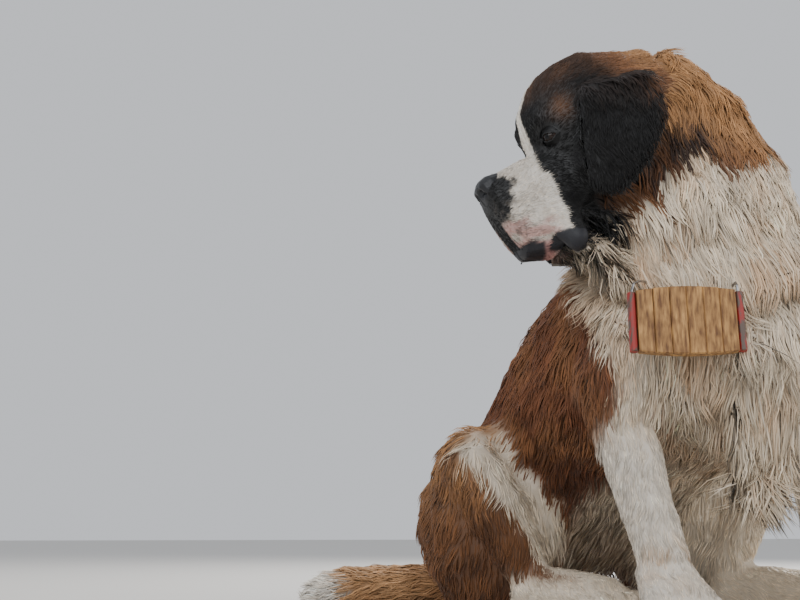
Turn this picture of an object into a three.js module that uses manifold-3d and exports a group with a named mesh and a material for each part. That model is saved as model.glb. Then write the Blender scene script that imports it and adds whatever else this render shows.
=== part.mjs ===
// A sitting Saint Bernard, life size, with its head turned to its right, a collar and a wooden keg tag.
// Millimetres. +Z is up and the floor is z = 0. The dog faces -Y and its left side is +X.
// Each solid is drawn out to the tips of the coat.
import * as THREE from 'three';
import { mergeVertices } from 'three/addons/utils/BufferGeometryUtils.js';
import Module from 'manifold-3d';

const wasm = await Module();
wasm.setup();

// Driving dimensions
const gap = 0.3;
const skullCentre = new THREE.Vector3(-172, -96, 685);
const headTurn = THREE.MathUtils.degToRad(105);
const headPitch = THREE.MathUtils.degToRad(25);
const legSpread = 130;
const earDrop = 185;
const eyeRadius = 13;
const eyeSpread = 51;
const clawLength = 20;
const collarRadius = 135;
const collarWidth = 25;
const collarThickness = 5;
const slotWidth = 30;
const tagWidth = 145;
const tagHeight = 88;
const tagEndHeight = 76;
const tagDepth = 20;
const slatCount = 6;
const slatBevel = 1.2;
const slatCrown = 5;
const endBar = 11;
const boardDepth = 6;
const hangerRadius = 1.6;
const hangerSteps = 5;
const toeSpread = 26;
const hindToeSpread = 24;
const farAway = 1200;

// Coat and fitting colours
const colours = {
  cream: 0xd8cbb8,
  brown: 0x7a4a28,
  golden: 0xb07a42,
  black: 0x17171a,
  nose: 0x1d1d22,
  iris: 0x3a2416,
  claw: 0x4a4038,
  leather: 0x2c2320,
  steel: 0x8d8f92,
  wood: 0xb8864e,
  redPaint: 0xa02f28,
};

// The head's own axes, from its turn to the dog's right and its downward pitch
const level = new THREE.Vector3(-Math.sin(headTurn), -Math.cos(headTurn), 0);
const headForward = new THREE.Vector3(
  level.x * Math.cos(headPitch), level.y * Math.cos(headPitch), -Math.sin(headPitch));
const headUp = new THREE.Vector3(
  level.x * Math.sin(headPitch), level.y * Math.sin(headPitch), Math.cos(headPitch));
const headLeft = new THREE.Vector3().crossVectors(headUp, headForward);
const worldUp = new THREE.Vector3(0, 0, 1);
const worldAxes = [new THREE.Vector3(1, 0, 0), new THREE.Vector3(0, 1, 0), worldUp];

// A point given as forward, left and up of the skull's centre
function inHead(forward, left, up) {
  return skullCentre.clone()
    .addScaledVector(headForward, forward)
    .addScaledVector(headLeft, left)
    .addScaledVector(headUp, up);
}

// A closed mesh from rings of points and the two end points that close them
function closedRings(rings, first, last) {
  const around = rings[0].length;
  const points = [first, ...rings.flat(), last];
  const faces = [];
  const end = points.length - 1;
  for (let i = 0; i < around; i++) {
    const next = (i + 1) % around;
    faces.push(0, 1 + next, 1 + i);
    for (let r = 0; r < rings.length - 1; r++) {
      const a = 1 + r * around + i;
      const b = 1 + r * around + next;
      faces.push(a, b, b + around, a, b + around, a + around);
    }
    const base = 1 + (rings.length - 1) * around;
    faces.push(base + i, base + next, end);
  }
  const geometry = new THREE.BufferGeometry();
  geometry.setAttribute('position', new THREE.Float32BufferAttribute(points.flatMap((p) => p.toArray()), 3));
  geometry.setIndex(faces);
  return geometry;
}

// A body form carried along a curved line: each station holds its centre (at), its half width (side) and
// its reach above (up) and below (down) the line. The outline between them is smooth, the section is a
// superellipse of the given power, and the ends close over domes of the given depths, each with the
// given number of rings (caps).
function form(stations, options = {}) {
  const { around = 12, steps = 1, power = 2, hint = worldUp, grow = 0, domes = [0.5, 0.5], caps = 1 } = options;
  const line = new THREE.CatmullRomCurve3(stations.map((s) => s.at));
  const reach = new THREE.CatmullRomCurve3(stations.map((s) => new THREE.Vector3(s.side, s.up, s.down)));
  const count = (stations.length - 1) * steps;
  const ring = (t, shrink, push) => {
    const centre = line.getPoint(t);
    const along = line.getTangent(t);
    const side = new THREE.Vector3().crossVectors(hint, along).normalize();
    const up = new THREE.Vector3().crossVectors(along, side).normalize();
    const size = reach.getPoint(t).addScalar(grow).multiplyScalar(shrink);
    centre.addScaledVector(along, push);
    return Array.from({ length: around }, (_, i) => {
      const angle = (2 * Math.PI * i) / around;
      const c = Math.sign(Math.cos(angle)) * Math.abs(Math.cos(angle)) ** (2 / power);
      const s = Math.sign(Math.sin(angle)) * Math.abs(Math.sin(angle)) ** (2 / power);
      return centre.clone().addScaledVector(side, c * size.x).addScaledVector(up, s * (s > 0 ? size.y : size.z));
    });
  };
  const dome = (t, depth, direction) => {
    const size = reach.getPoint(t);
    const bulge = direction * (depth * (size.x + size.y + size.z) / 3 + grow);
    const rings = Array.from({ length: caps }, (_, i) => {
      const angle = (Math.PI / 2) * ((i + 1) / (caps + 0.8));
      return ring(t, Math.cos(angle), bulge * Math.sin(angle));
    });
    return { rings, end: line.getPoint(t).addScaledVector(line.getTangent(t), bulge) };
  };
  const start = dome(0, domes[0], -1);
  const finish = dome(1, domes[1], 1);
  const body = Array.from({ length: count + 1 }, (_, i) => ring(i / count, 1, 0));
  return solid(closedRings([...start.rings.reverse(), ...body, ...finish.rings], start.end, finish.end));
}

// One station of a form
function station(at, side, up, down = up) {
  return { at: Array.isArray(at) ? new THREE.Vector3(...at) : at, side, up, down };
}

// A rounded lump: a sphere with three half sizes along the given axes
function lump(centre, size, options = {}) {
  const { axes = [headForward, headLeft, headUp], detail = 10, grow = 0 } = options;
  const geometry = new THREE.SphereGeometry(1, detail, Math.round(detail * 0.7));
  const basis = new THREE.Matrix4().makeBasis(...axes);
  geometry.scale(...size.map((s) => s + grow));
  geometry.applyMatrix4(basis);
  geometry.translate(centre.x, centre.y, centre.z);
  return solid(geometry);
}

// A solid for joining and cutting, from a closed geometry
function solid(geometry) {
  const bare = geometry.clone();
  bare.deleteAttribute('normal');
  bare.deleteAttribute('uv');
  const merged = mergeVertices(bare, 1e-3);
  return new wasm.Manifold(new wasm.Mesh({
    numProp: 3,
    vertProperties: new Float32Array(merged.attributes.position.array),
    triVerts: new Uint32Array(merged.index.array),
  }));
}

// The one largest body of a cut solid, so that no crumbs are left
function largest(body) {
  const pieces = body.decompose();
  return pieces.reduce((best, piece) => (piece.volume() > best.volume() ? piece : best));
}

function joined(...bodies) {
  return bodies.reduce((sum, body) => sum.add(body));
}

function cut(body, ...tools) {
  return largest(tools.reduce((rest, tool) => rest.subtract(tool), body));
}

const sides = ['left', 'right'];
const sign = { left: 1, right: -1 };
const toePlaces = [-1.5, -0.5, 0.5, 1.5];

// All that lies below the floor
const floor = solid(new THREE.BoxGeometry(2 * farAway, 2 * farAway, farAway).translate(0, 0, -farAway / 2));

const model = new THREE.Group();

// Adds a named mesh of one material to the model
function add(name, body, colour, roughness = 0.85, metalness = 0) {
  const data = body.getMesh();
  const geometry = new THREE.BufferGeometry();
  geometry.setAttribute('position', new THREE.Float32BufferAttribute(data.vertProperties, 3));
  geometry.setIndex(Array.from(data.triVerts));
  geometry.computeVertexNormals();
  const material = new THREE.MeshStandardMaterial({ color: colour, roughness, metalness });
  const mesh = new THREE.Mesh(geometry, material);
  mesh.name = name;
  model.add(mesh);
}

// Head: skull, muzzle, brows and the hanging upper lips
function skull(grow = 0) {
  return form([
    station(inHead(-88, 0, 0), 66, 84, 80),
    station(inHead(-45, 0, 0), 86, 97, 106),
    station(inHead(0, 0, 0), 94, 106, 124),
    station(inHead(34, 0, 0), 89, 100, 130),
    station(inHead(60, 0, 0), 78, 92, 130),
    station(inHead(82, 0, 0), 66, 80, 126),
    station(inHead(98, 0, 0), 53, 62, 118),
  ], { around: 16, hint: headUp, grow, domes: [0.3, 0.2], caps: 2 });
}

function muzzle(grow = 0) {
  return form([
    station(inHead(60, 0, -64), 64, 50, 84),
    station(inHead(102, 0, -66), 60, 58, 84),
    station(inHead(135, 0, -68), 54, 60, 78),
    station(inHead(165, 0, -71), 50, 60, 72),
    station(inHead(190, 0, -74), 45, 54, 62),
  ], { around: 14, power: 2.8, hint: headUp, grow, domes: [0.3, 0.22], caps: 2 });
}

function brow(side, grow = 0) {
  return lump(inHead(86, side * 36, 30), [26, 26, 22], { grow, detail: 7 });
}

function lipLobe(side, grow = 0) {
  return form([
    station(inHead(122, side * 50, -96), 34, 14),
    station(inHead(118, side * 53, -128), 32, 15),
    station(inHead(112, side * 51, -154), 22, 13),
  ], { around: 10, hint: headLeft, grow, domes: [0.6, 0.5] });
}

function cheek(side, grow = 0) {
  return lump(inHead(38, side * 60, -62), [52, 36, 60], { grow, detail: 8 });
}

function wholeHead(grow = 0) {
  const paired = [1, -1].flatMap((side) => [brow(side, grow), lipLobe(side, grow), cheek(side, grow)]);
  return joined(skull(grow), muzzle(grow), ...paired);
}

function lowerJaw(grow = 0) {
  return form([
    station(inHead(70, 0, -132), 40, 24, 24),
    station(inHead(116, 0, -136), 40, 22, 24),
    station(inHead(152, 0, -130), 38, 18, 20),
    station(inHead(184, 0, -123), 32, 12, 17),
  ], { power: 2.3, hint: headUp, grow, domes: [0.3, 0.4] });
}

function nosePad(grow = 0) {
  return form([
    station(inHead(172, 0, -29), 24, 14, 17),
    station(inHead(186, 0, -30), 29, 16, 19),
    station(inHead(196, 0, -31), 27, 14, 17),
  ], { around: 14, power: 2.4, hint: headUp, grow, domes: [0.2, 0.32] });
}

// Where each eyeball sits, pushed in until it is nearly level with the lids
function eyeball(side, grow = 0) {
  const size = [eyeRadius, eyeRadius, eyeRadius];
  return lump(inHead(94, side * eyeSpread, -4), size, { grow });
}

// An ear hangs straight down from high on the skull, whatever the head's pitch
function ear(side, grow = 0) {
  const out = headLeft.clone().multiplyScalar(side);
  const hung = (forward, sideways, z, half, thick) => station(
    skullCentre.clone().addScaledVector(level, forward).addScaledVector(out, sideways).setZ(z), half, thick);
  const top = 730;
  return form([
    hung(12, 62, top, 40, 9),
    hung(0, 90, top - 24, 60, 11),
    hung(-2, 106, top - 58, 64, 9),
    hung(8, 112, top - 98, 55, 8),
    hung(20, 112, top - 136, 41, 7),
    hung(29, 109, top + 14 - earDrop, 22, 6),
  ], { power: 2.2, hint: out, grow, domes: [0.2, 0.35] });
}

// Neck and trunk: a thick ruff over the shoulders, a deep chest and a back that slopes to the haunches
function neckForm(grow = 0) {
  return form([
    station([0, -70, 400], 190, 165, 160),
    station([-18, -90, 480], 214, 160, 166),
    station([-38, -98, 560], 202, 150, 142),
    station([-38, -100, 630], 174, 134, 118),
    station([-70, -104, 690], 121, 112, 102),
    station([-98, -104, 728], 86, 82, 82),
  ], { around: 16, hint: new THREE.Vector3(0, 1, 0), grow, domes: [0.2, 0.24] });
}

function trunkForm(grow = 0) {
  return form([
    station([0, -214, 428], 138, 130, 142),
    station([0, -150, 420], 182, 172, 184),
    station([0, -60, 400], 200, 200, 196),
    station([0, 45, 360], 206, 198, 182),
    station([0, 152, 300], 212, 198, 170),
    station([0, 250, 232], 212, 184, 155),
    station([0, 325, 165], 180, 142, 130),
    station([0, 365, 125], 138, 98, 100),
  ], { around: 16, power: 2.15, grow, domes: [0.4, 0.35] });
}

// The long fringe that hangs from the chest between the forelegs
function chestFringe(grow = 0) {
  return form([
    station([0, -196, 330], 96, 60, 66),
    station([0, -186, 250], 74, 50, 54),
    station([0, -182, 180], 34, 26, 26),
  ], { hint: new THREE.Vector3(0, 1, 0), grow, domes: [0.4, 0.5] });
}

// The plane through the neck's root where the collar lies
const collarCentre = new THREE.Vector3(-14, -110, 505);
const collarNormal = new THREE.Vector3(-0.25, -0.5, 0.83).normalize();
const collarTurn = new THREE.Quaternion().setFromUnitVectors(worldUp, collarNormal);

function onCollar(geometry) {
  geometry.applyQuaternion(collarTurn);
  geometry.translate(collarCentre.x, collarCentre.y, collarCentre.z);
  return solid(geometry);
}

// A flat ring round the neck's line
function band(inner, outer, width) {
  const half = width / 2;
  const profile = [[inner, -half], [outer, -half], [outer, half], [inner, half], [inner, -half]];
  const points = profile.map(([radius, height]) => new THREE.Vector2(radius, height));
  return onCollar(new THREE.LatheGeometry(points, 28).rotateX(Math.PI / 2));
}

// All that lies above or below the collar's middle plane, which parts the neck from the chest
function halfSpace(direction) {
  const box = new THREE.BoxGeometry(farAway, farAway, farAway);
  return onCollar(box.translate(0, 0, direction * (farAway - gap) / 2));
}

// Forelegs: a straight pillar of upper arm and forearm over a broad round paw
function armForm(side, grow = 0) {
  return form([
    station([side * 132, -108, 420], 76, 96, 112),
    station([side * 152, -98, 330], 66, 84, 92),
    station([side * 154, -108, 250], 47, 54, 54),
    station([side * 145, -130, 165], 40, 42, 44),
    station([side * (legSpread + 2), -152, 84], 38, 38, 42),
  ], { hint: new THREE.Vector3(0, 1, 0), grow, domes: [0.3, 0.2] });
}

function forepawForm(side, grow = 0) {
  const x = side * legSpread;
  const toes = toePlaces.map((place) => lump(
    new THREE.Vector3(x + place * toeSpread, -216 + Math.abs(place) * 10, 21), [17, 34, 27],
    { axes: worldAxes, detail: 6, grow }));
  const pad = form([
    station([x, -138, 84], 38, 36, 40),
    station([x, -160, 52], 46, 44, 40),
    station([x, -192, 30], 52, 38, 50),
  ], { hint: new THREE.Vector3(0, 0.5, 1), grow, domes: [0.1, 0.5] });
  return joined(pad, ...toes);
}

// Hind legs: the thigh folds up to a high knee, the shank comes down inside it to a foot set forward
const hind = {
  right: {
    hip: [-100, 290, 200],
    thigh: [-190, 240, 208],
    knee: [-258, 176, 238],
    shin: [-226, 140, 152],
    hock: [-184, 122, 66],
    toes: [-128, -44, 26],
  },
  left: {
    hip: [100, 290, 200],
    thigh: [180, 240, 206],
    knee: [240, 176, 232],
    shin: [208, 146, 150],
    hock: [160, 128, 66],
    toes: [262, -6, 26],
  },
};

function thighForm(key, grow = 0) {
  const leg = hind[key];
  return form([
    station(leg.hip, 96, 96, 130),
    station(leg.thigh, 112, 100, 150),
    station(leg.knee, 56, 64, 74),
  ], { steps: 2, grow, domes: [0.4, 0.5] });
}

function haunchForm(key, grow = 0) {
  return lump(new THREE.Vector3(sign[key] * 168, 272, 134), [134, 164, 148], { axes: worldAxes, detail: 12, grow });
}

function shankForm(key, grow = 0) {
  const leg = hind[key];
  return form([
    station(leg.knee, 50, 48, 46),
    station(leg.shin, 52, 58, 62),
    station(leg.hock, 40, 44, 42),
  ], { steps: 2, hint: new THREE.Vector3(0, 1, 0), grow, domes: [0.4, 0.5] });
}

function hindfootForm(key, grow = 0) {
  const leg = hind[key];
  const heel = new THREE.Vector3(...leg.hock).setZ(36);
  const tip = new THREE.Vector3(...leg.toes);
  const middle = heel.clone().lerp(tip, 0.5).setZ(36);
  const fore = heel.clone().lerp(tip, 0.86).setZ(32);
  const along = tip.clone().sub(heel).setZ(0).normalize();
  const across = new THREE.Vector3().crossVectors(along, worldUp);
  const toes = toePlaces.map((place) => lump(
    tip.clone().addScaledVector(across, place * hindToeSpread).addScaledVector(along, -Math.abs(place) * 9),
    [32, 16, 26], { axes: [along, across.clone().negate(), worldUp], detail: 6, grow }));
  const sole = form([
    station(heel, 36, 44, 40),
    station(middle, 38, 38, 40),
    station(fore, 48, 34, 36),
  ], { grow, domes: [0.6, 0.4] });
  return joined(sole, ...toes);
}

// The tail leaves the rump low down and lies along the floor to the dog's right
const tailLine = [
  station([-20, 350, 92], 46, 44, 44),
  station([-70, 424, 56], 48, 46, 46),
  station([-158, 474, 40], 50, 46, 44),
  station([-262, 490, 36], 48, 42, 40),
  station([-356, 472, 32], 40, 36, 36),
  station([-412, 440, 26], 22, 24, 28),
];

function tailPart(from, to, grow = 0) {
  return form(tailLine.slice(from, to + 1), { around: 10, steps: 2, grow, domes: [0.3, 0.5] });
}

// A claw is a short curved spike, set in the end of its toe
function claw(base, along, grow = 0) {
  const tip = base.clone().addScaledVector(along, clawLength).setZ(base.z - 12);
  const middle = base.clone().lerp(tip, 0.55).setZ(base.z - 3);
  return form([
    station(base, 4.5, 5),
    station(middle, 3.4, 4),
    station(tip, 1.3, 1.6),
  ], { around: 5, grow, domes: [0.4, 0.4], caps: 0 });
}

// The places and directions of one foot's four claws
function clawPlaces(kind, key) {
  const side = sign[key];
  if (kind === 'fore') {
    return toePlaces.map((place) => ({
      base: new THREE.Vector3(side * legSpread + place * toeSpread, -244 + Math.abs(place) * 10, 20),
      along: new THREE.Vector3(place * 0.04, -1, 0).normalize(),
    }));
  }
  const leg = hind[key];
  const tip = new THREE.Vector3(...leg.toes);
  const along = tip.clone().sub(new THREE.Vector3(...leg.hock)).setZ(0).normalize();
  const across = new THREE.Vector3().crossVectors(along, worldUp);
  return toePlaces.map((place) => ({
    base: tip.clone().addScaledVector(across, place * hindToeSpread)
      .addScaledVector(along, 25 - Math.abs(place) * 9).setZ(20),
    along,
  }));
}

function allClaws(kind, key, grow = 0) {
  return clawPlaces(kind, key).map(({ base, along }) => claw(base, along, grow));
}

// The head and what is set in it
const jawTool = lowerJaw(gap);
const noseTool = nosePad(gap);
const eyeTools = [1, -1].map((side) => eyeball(side, gap));
const headBody = cut(wholeHead(), jawTool, noseTool, ...eyeTools);
add('head', headBody, colours.brown);
add('nose', nosePad(), colours.nose, 0.5);
const headTool = wholeHead(gap);
for (const key of sides) {
  add(`eye_${key}`, eyeball(sign[key]), colours.iris, 0.1);
  add(`ear_${key}`, cut(ear(sign[key]), headTool), colours.black);
}
const earTools = [1, -1].map((side) => ear(side, gap));
const throatTools = [headTool, jawTool, ...earTools];
add('lower_jaw', lowerJaw(), colours.cream);

// Neck and chest part at the collar, which lies in a slot that the coat closes over
const slot = band(collarRadius - gap, 400, slotWidth);
add('collar', band(collarRadius, collarRadius + collarThickness, collarWidth), colours.leather);

// The tag hangs against the chest, turned with the neck to the dog's right
const tagCentre = new THREE.Vector3(-138, -232, 380);
const tagOut = new THREE.Vector3(-0.4, -0.9, 0.12).normalize();
const tagAcross = new THREE.Vector3().crossVectors(worldUp, tagOut).normalize();
const tagRise = new THREE.Vector3().crossVectors(tagOut, tagAcross);
const tagBasis = new THREE.Matrix4().makeBasis(tagAcross, tagRise, tagOut);

function onTag(geometry) {
  geometry.applyMatrix4(tagBasis);
  geometry.translate(tagCentre.x, tagCentre.y, tagCentre.z);
  return solid(geometry);
}

// Half the keg's height at a distance from its middle: it swells between its ends
function kegHalf(x) {
  const swell = (tagHeight - tagEndHeight) / 2;
  return tagEndHeight / 2 + swell * (1 - (2 * x / tagWidth) ** 2);
}

// One upright slat of the keg's front, its ends cut along the swelling outline
function slat(index) {
  const span = (tagWidth - 2 * endBar) / slatCount;
  const left = -tagWidth / 2 + endBar + index * span + gap / 2;
  const right = left + span - gap;
  const outline = new THREE.Shape([
    new THREE.Vector2(left, -kegHalf(left)), new THREE.Vector2(right, -kegHalf(right)),
    new THREE.Vector2(right, kegHalf(right)), new THREE.Vector2(left, kegHalf(left)),
  ]);
  const middle = (left + right) / tagWidth;
  const depth = tagDepth - boardDepth - slatCrown * middle ** 2;
  const rounded = new THREE.ExtrudeGeometry(outline, {
    depth,
    bevelEnabled: true,
    bevelSize: slatBevel,
    bevelThickness: slatBevel,
    bevelSegments: 1,
    bevelOffset: -slatBevel,
  });
  return onTag(rounded.translate(0, 0, -tagDepth / 2 + boardDepth + gap + slatBevel));
}

function backBoard() {
  const outline = new THREE.Shape();
  const reach = tagWidth / 2 - endBar - gap;
  const places = [-1, -0.6, -0.2, 0.2, 0.6, 1].map((place) => place * reach);
  outline.setFromPoints([
    ...places.map((x) => new THREE.Vector2(x, -kegHalf(x) + 2)),
    ...places.slice().reverse().map((x) => new THREE.Vector2(x, kegHalf(x) - 2)),
  ]);
  return onTag(new THREE.ExtrudeGeometry(outline, { depth: boardDepth, bevelEnabled: false })
    .translate(0, 0, -tagDepth / 2));
}

// A rounded bar that closes each end of the keg
function tagEnd(side) {
  const bar = new THREE.CylinderGeometry(endBar / 2, endBar / 2, tagEndHeight, 12);
  bar.scale(1, 1, (tagDepth - 2) / endBar);
  return onTag(bar.translate(side * (tagWidth / 2 - endBar / 2), 0, 0));
}

add('tag_board', backBoard(), colours.wood, 0.8);
for (let i = 0; i < slatCount; i++) {
  add(`tag_slat_${i + 1}`, slat(i), colours.wood, 0.7);
}
for (const key of sides) {
  add(`tag_end_${key}`, tagEnd(sign[key]), colours.redPaint, 0.6);
}

// A round wire along a curve
function wire(curve, radius, steps, grow = 0) {
  const section = new THREE.Shape(Array.from({ length: 6 }, (_, i) => new THREE.Vector2(
    (radius + grow) * Math.cos(i * Math.PI / 3), (radius + grow) * Math.sin(i * Math.PI / 3))));
  return solid(new THREE.ExtrudeGeometry(section, { steps, extrudePath: curve, bevelEnabled: false }));
}

// A hanger rises from each upper corner of the tag and bends back to the collar
function hangerCurve(side) {
  const foot = tagCentre.clone()
    .addScaledVector(tagAcross, side * (tagWidth / 2 - endBar / 2))
    .addScaledVector(tagRise, tagEndHeight / 2 + gap);
  const bend = foot.clone().addScaledVector(tagRise, 26).addScaledVector(tagOut, 4);
  const inward = collarCentre.clone().sub(bend);
  inward.addScaledVector(collarNormal, -inward.dot(collarNormal)).normalize();
  const start = collarCentre.clone().addScaledVector(inward, -(collarRadius + collarThickness + 1));
  return new THREE.QuadraticBezierCurve3(foot, bend, start);
}

const hangerTools = [1, -1].map((side) => wire(hangerCurve(side), hangerRadius, hangerSteps, gap));
add('neck', cut(neckForm(), ...throatTools, ...hangerTools, slot, halfSpace(-1)), colours.cream);
for (const key of sides) {
  add(`hanger_${key}`, wire(hangerCurve(sign[key]), hangerRadius, hangerSteps), colours.steel, 0.35, 0.9);
}

// The chest and the rump are one trunk, parted across the waist
const waist = new THREE.Vector3(0, 96, 316);
const waistAxis = new THREE.Vector3(0, 100, -65).normalize();
const waistTurn = new THREE.Quaternion().setFromUnitVectors(worldUp, waistAxis);

function waistSide(direction) {
  const geometry = new THREE.BoxGeometry(farAway, farAway, farAway);
  geometry.translate(0, 0, direction * (farAway - gap) / 2);
  geometry.applyQuaternion(waistTurn);
  geometry.translate(waist.x, waist.y, waist.z);
  return solid(geometry);
}

const armTools = sides.map((key) => armForm(sign[key], gap));
const thighWhole = (key, grow = 0) => joined(thighForm(key, grow), haunchForm(key, grow));
const thighTools = sides.map((key) => thighWhole(key, gap));
const shankTools = sides.map((key) => shankForm(key, gap));
const hindfootTools = sides.map((key) => hindfootForm(key, gap));
const forepawTools = sides.map((key) => forepawForm(sign[key], gap));
const legTools = [...armTools, ...thighTools, ...shankTools, ...hindfootTools, ...forepawTools];
const tagTool = onTag(new THREE.BoxGeometry(tagWidth + 2, tagHeight + 2, tagDepth + 30).translate(0, 0, 14));
const tailTools = [tailPart(0, 3, gap), tailPart(2, 5, gap)];

const upperTrunk = joined(trunkForm(), neckForm(), chestFringe()).subtract(halfSpace(1)).subtract(slot);
const chestTools = [waistSide(1), tagTool, ...hangerTools, ...legTools, ...throatTools];
add('chest', cut(upperTrunk, ...chestTools), colours.cream);
add('rump', cut(trunkForm(), waistSide(-1), ...legTools, ...tailTools), colours.brown);

// Legs, from the body outwards
for (const [i, key] of sides.entries()) {
  const foreClaws = allClaws('fore', key, gap);
  const hindClaws = allClaws('hind', key, gap);
  const armCuts = [forepawTools[i], thighTools[i], shankTools[i], tagTool, slot, halfSpace(1), ...hangerTools];
  add(`foreleg_${key}`, cut(armForm(sign[key]), ...armCuts), colours.cream);
  add(`forepaw_${key}`, cut(forepawForm(sign[key]), floor, ...foreClaws), colours.cream);
  add(`thigh_${key}`, cut(thighWhole(key), floor), colours.golden);
  add(`shank_${key}`, cut(shankForm(key), thighTools[i], floor), colours.cream);
  const footCuts = [thighTools[i], shankTools[i], forepawTools[i], floor, ...hindClaws];
  add(`hindfoot_${key}`, cut(hindfootForm(key), ...footCuts), colours.cream);
  allClaws('fore', key).forEach((body, n) => add(`fore_claw_${key}_${n + 1}`, body, colours.claw, 0.4));
  allClaws('hind', key).forEach((body, n) => add(`hind_claw_${key}_${n + 1}`, body, colours.claw, 0.4));
}

add('tail_base', cut(tailPart(0, 3), ...thighTools, tailTools[1], floor), colours.golden);
add('tail_tip', cut(tailPart(2, 5), ...thighTools, floor), colours.cream);

// The origin goes to the middle of the base
const extent = new THREE.Box3().setFromObject(model);
const middle = extent.getCenter(new THREE.Vector3());
model.position.set(-middle.x, -middle.y, 0);

export default model;
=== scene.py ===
import math
import bmesh
import bpy
import numpy as np
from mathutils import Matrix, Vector
from mathutils.bvhtree import BVHTree
from mathutils.kdtree import KDTree


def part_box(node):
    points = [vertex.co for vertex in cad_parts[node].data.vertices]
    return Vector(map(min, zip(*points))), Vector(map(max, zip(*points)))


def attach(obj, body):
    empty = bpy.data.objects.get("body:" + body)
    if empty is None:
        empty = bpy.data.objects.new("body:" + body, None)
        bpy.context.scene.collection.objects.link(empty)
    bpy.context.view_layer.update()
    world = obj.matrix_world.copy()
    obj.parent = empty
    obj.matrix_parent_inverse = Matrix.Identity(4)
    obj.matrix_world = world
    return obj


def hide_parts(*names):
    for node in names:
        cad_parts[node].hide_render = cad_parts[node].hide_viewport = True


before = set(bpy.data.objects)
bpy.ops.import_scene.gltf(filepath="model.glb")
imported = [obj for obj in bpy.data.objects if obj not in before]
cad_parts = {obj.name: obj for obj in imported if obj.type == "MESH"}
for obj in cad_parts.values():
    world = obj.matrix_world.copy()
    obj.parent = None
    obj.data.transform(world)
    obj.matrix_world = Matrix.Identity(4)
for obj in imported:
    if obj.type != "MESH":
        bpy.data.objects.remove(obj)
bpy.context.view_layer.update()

# A sitting Saint Bernard of life size: one skin, a coat of solid locks, eyes, nose, collar and wooden tag.
# Lengths are metres in the frame. Places in the head are millimetres forward, left and up of the skull.

rng = np.random.default_rng(7)


# Small helpers for whole arrays of points

def unit(v):
    """Each row divided by its length."""
    return v / np.maximum(np.linalg.norm(v, axis=-1, keepdims=True), 1e-9)


def ramp(x, low, high):
    """0 below low, 1 above high, and three squares less two cubes of the share between them."""
    t = np.clip((x - low) / (high - low), 0, 1)
    return t * t * (3 - 2 * t)


def hump(distance, radius):
    """1 at distance 0, falling as a bell curve whose width is radius."""
    return np.exp(-(distance / radius) ** 2)


def dots(p, v):
    """The length of each point's shadow on the direction v."""
    return p @ np.asarray(v, float)


def ripple(p, wavelength, seed):
    """A smooth uneven value between about -1 and 1: the sum of six sine waves in scattered directions."""
    scatter = np.random.default_rng(seed)
    total = np.zeros(len(p))
    for _ in range(6):
        heading = unit(scatter.normal(size=3))
        stretch = scatter.uniform(0.7, 1.5)
        phase = scatter.uniform(0, math.tau)
        total += np.sin(dots(p, heading) * math.tau * stretch / wavelength + phase)
    return total / 2.6


def linear(red, green, blue):
    """A colour given in the 0 to 255 steps of a screen, as linear light."""
    c = np.array([red, green, blue]) / 255
    return np.where(c <= 0.04045, c / 12.92, ((c + 0.055) / 1.055) ** 2.4)


def blend_to(colour, share, other):
    """The colour moved by a share from 0 to 1 towards another."""
    return colour + share[:, None] * (other - colour)


def plain(colour, p):
    """One colour at all of the points."""
    return np.tile(colour, (len(p), 1))


# The head's own axes, from the eyes and the skull's pitch and turn

def centre_of(node):
    """The middle of a node's box."""
    low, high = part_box(node)
    return np.array((low + high) / 2)


eye_centres = {"left": centre_of("eye_left"), "right": centre_of("eye_right")}
EYE_BALL = 0.0122
HEAD_PITCH = math.radians(25)
head_left = unit(eye_centres["left"] - eye_centres["right"])
head_level = np.array([head_left[1], -head_left[0], 0.0])
head_forward = head_level * math.cos(HEAD_PITCH) + np.array([0, 0, -math.sin(HEAD_PITCH)])
head_up = np.cross(head_forward, head_left)
EYE_FORWARD = 0.094
EYE_UP = -0.004
eye_middle = (eye_centres["left"] + eye_centres["right"]) / 2
skull = eye_middle - EYE_FORWARD * head_forward - EYE_UP * head_up


def in_head(p):
    """Points as forward, left and up from the skull's centre, in millimetres."""
    d = (p - skull) * 1000
    return np.stack([dots(d, head_forward), dots(d, head_left), dots(d, head_up)], axis=1)


def bell(h, place, size):
    """1 at a place in the head, falling away over its size forward, left and up."""
    return np.exp(-(((h - place) / size) ** 2).sum(1))


def ball(h, place, stretch, radius):
    """1 at a place in the head, falling round it over a radius that is stretched along the three axes."""
    return hump(np.linalg.norm((h - place) / stretch, axis=1), radius)


# The skin: copies of the flesh nodes, welded, joined, filled at the collar and remeshed as one

FLESH = ["head", "lower_jaw", "ear_left", "ear_right", "neck", "chest", "rump"]
for side in ("left", "right"):
    FLESH += [part + "_" + side for part in ("foreleg", "forepaw", "thigh", "shank", "hindfoot")]
FLESH += ["tail_base", "tail_tip"]
GROW = 0.0018
VOXEL = 0.0048
COLLAR_RADIUS = 0.135
collar_low, collar_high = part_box("collar")
collar_centre = np.array((collar_low + collar_high) / 2)
collar_axis = unit(np.array([-0.25, -0.5, 0.83]))


def arrays_of(mesh):
    """A mesh's points and triangles as arrays."""
    points = np.empty(len(mesh.vertices) * 3)
    mesh.vertices.foreach_get("co", points)
    mesh.calc_loop_triangles()
    triangles = np.empty(len(mesh.loop_triangles) * 3, dtype=np.int32)
    mesh.loop_triangles.foreach_get("vertices", triangles)
    return points.reshape(-1, 3), triangles.reshape(-1, 3)


def welded(points, triangles):
    """The same surface with points that lie within a hundredth of a millimetre made one."""
    steps = np.round(points / 1e-5).astype(np.int64)
    _, first, place = np.unique(steps, axis=0, return_index=True, return_inverse=True)
    return points[first], place.reshape(-1)[triangles]


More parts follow.
